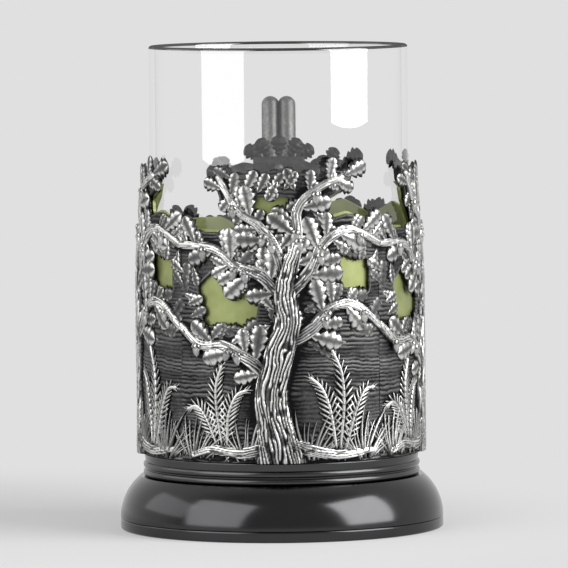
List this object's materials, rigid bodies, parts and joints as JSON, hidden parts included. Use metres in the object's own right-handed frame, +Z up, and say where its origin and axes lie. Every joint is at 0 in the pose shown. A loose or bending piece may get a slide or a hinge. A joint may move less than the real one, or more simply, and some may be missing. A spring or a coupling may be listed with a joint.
{
  "type": "tea glass in a handled metal holder",
  "caption": "Straight tea glass that drops into a pierced metal holder with a reeded handle, a gilded liner, cast oak relief panels and a flared foot.",
  "frame": {"origin": "on the table plane at the centre of the foot", "axes": "+Z up along the axis of the glass, +Y towards the handle, front towards -Y, +X to the right as seen from the front"},
  "size_m": [0.085, 0.1125, 0.127],
  "materials": {
    "glass": "clear, polished",
    "gilding": "pale greenish gilding, satin",
    "oxidised_silver": "cast silver plate, blackened in the recesses and polished on the high points",
    "dark_nickel": "dark polished nickel",
    "steel": "turned steel"
  },
  "bodies": {
    "holder": {"gilded_liner": "gilding", "relief_front": "oxidised_silver", "relief_right": "oxidised_silver", "relief_rear": "oxidised_silver", "relief_left": "oxidised_silver", "floor_plate": "gilding", "neck_band": "dark_nickel", "foot": "dark_nickel", "foot_rim": "dark_nickel", "foot_screws": "steel", "upper_lug": "oxidised_silver", "lower_lug": "oxidised_silver", "handle_bow": "oxidised_silver", "thumb_rest": "oxidised_silver", "handle_rivets": "oxidised_silver"},
    "glass": {"tea_glass": "glass"}
  },
  "joints": [
    {"name": "glass_lift", "type": "slide", "parent": "holder", "child": "glass", "axis": [0, 0, 1], "range_m": [0, 0.11]}
  ]
}
